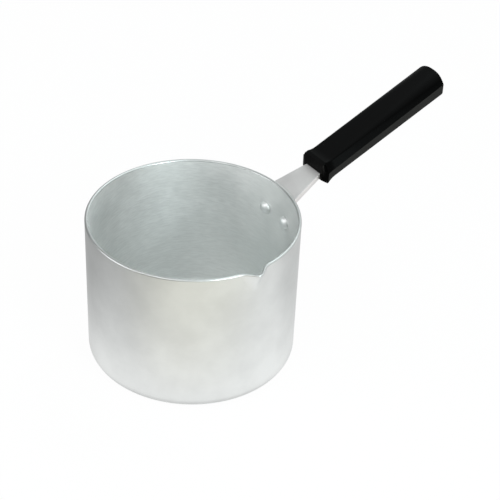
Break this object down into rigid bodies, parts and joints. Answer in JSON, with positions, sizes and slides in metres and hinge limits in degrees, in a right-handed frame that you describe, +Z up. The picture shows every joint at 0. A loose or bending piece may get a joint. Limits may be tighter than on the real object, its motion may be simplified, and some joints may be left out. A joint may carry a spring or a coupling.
{
  "type": "milk pan",
  "caption": "Small round aluminium saucepan with straight walls, a pressed pouring lip at the rim and one long black grip on a riveted plate bracket, for heating and pouring liquids.",
  "frame": {"origin": "centre of the base, on the table", "axes": "+X from the pan's axis towards the handle, -Y towards the pouring lip, +Z up"},
  "size_m": [0.2663, 0.1462, 0.1552],
  "materials": {
    "pan_aluminium": "satin, spun",
    "bracket_aluminium": "satin, tumbled",
    "rivet_aluminium": "bright",
    "grip_phenolic": "semi-gloss moulded",
    "screw_steel": "plated"
  },
  "bodies": {
    "root": {"pot_body": "pan_aluminium", "handle_bracket": "bracket_aluminium", "rivet_left": "rivet_aluminium", "rivet_right": "rivet_aluminium", "grip": "grip_phenolic", "grip_screw": "screw_steel"}
  },
  "joints": []
}
